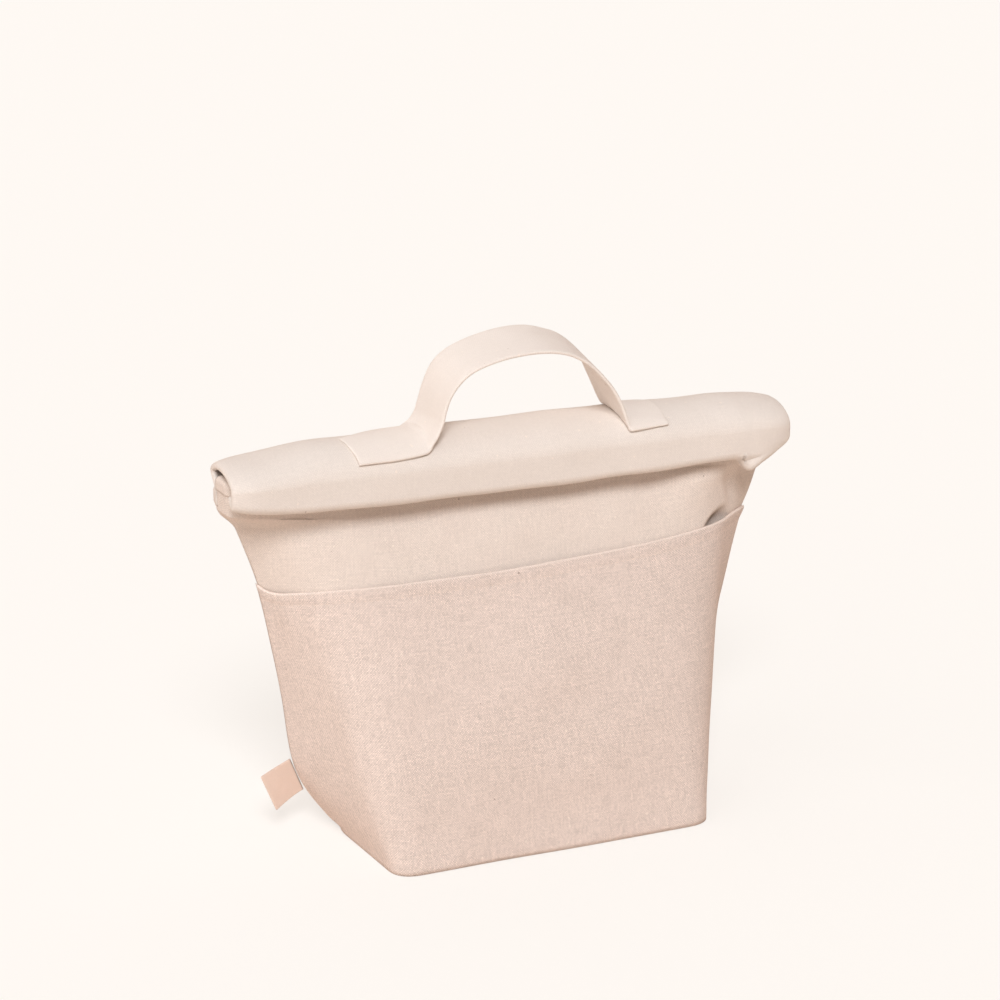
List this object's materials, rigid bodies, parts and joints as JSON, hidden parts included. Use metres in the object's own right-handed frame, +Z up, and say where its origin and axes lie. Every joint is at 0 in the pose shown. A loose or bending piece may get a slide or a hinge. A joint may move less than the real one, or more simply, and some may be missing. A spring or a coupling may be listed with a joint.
{
  "type": "insulated roll-top lunch bag",
  "caption": "Soft insulated canvas lunch bag with a boxy base, a front pocket, a roll-down top that unrolls to open the mouth, a strap handle on the roll and a side label.",
  "frame": {"origin": "middle of the base's underside, on the floor", "axes": "+Z up, front faces -Y, +X to the right of someone facing the bag's front, along the roll"},
  "size_m": [0.326, 0.1607, 0.2736],
  "materials": {
    "canvas": "matte plain-weave canvas with small flecks",
    "foam": "closed-cell sheet foam",
    "foil_lining": "silver film, slightly creased",
    "hook_and_loop": "hook and loop pile",
    "label_cloth": "smooth woven tape"
  },
  "bodies": {
    "bag_body": {"front_panel": "canvas", "back_panel": "canvas", "base_panel": "canvas", "front_pocket": "canvas", "mouth_hem": "canvas", "front_foam": "foam", "back_foam": "foam", "base_foam": "foam", "front_lining": "foil_lining", "back_lining": "foil_lining", "base_lining": "foil_lining", "loop_strip": "hook_and_loop"},
    "flap_top": {"flap_top_canvas": "canvas", "flap_top_foam": "foam", "flap_top_lining": "foil_lining", "handle_end_left": "canvas", "handle_end_right": "canvas"},
    "flap_front": {"flap_front_canvas": "canvas", "flap_front_foam": "foam", "flap_front_lining": "foil_lining", "flap_end_hem": "canvas", "hook_strip": "hook_and_loop"},
    "handle": {"handle_strap": "canvas"},
    "label": {"side_label": "label_cloth"}
  },
  "joints": [
    {"name": "roll_top_unroll", "type": "hinge", "parent": "bag_body", "child": "flap_top", "pos_m": [0, 0.01815, 0.211], "axis": [-1, 0, 0], "range_deg": [0, 110]},
    {"name": "roll_front_unroll", "type": "hinge", "parent": "flap_top", "child": "flap_front", "pos_m": [0, -0.02968, 0.21804], "axis": [-1, 0, 0], "range_deg": [0, 105]},
    {"name": "handle_swing", "type": "hinge", "parent": "flap_top", "child": "handle", "pos_m": [0, -0.01125, 0.2456], "axis": [1, 0, 0], "range_deg": [-80, 80], "stiffness_Nm_per_rad": 0.02},
    {"name": "label_flex", "type": "hinge", "parent": "bag_body", "child": "label", "pos_m": [-0.12444, 0, 0.03231], "axis": [-0.3452, 0, 0.9385], "range_deg": [-70, 70], "stiffness_Nm_per_rad": 0.002}
  ],
  "couplings": [
    {"joint": "roll_front_unroll", "follows": "roll_top_unroll", "ratio": 0.95}
  ]
}
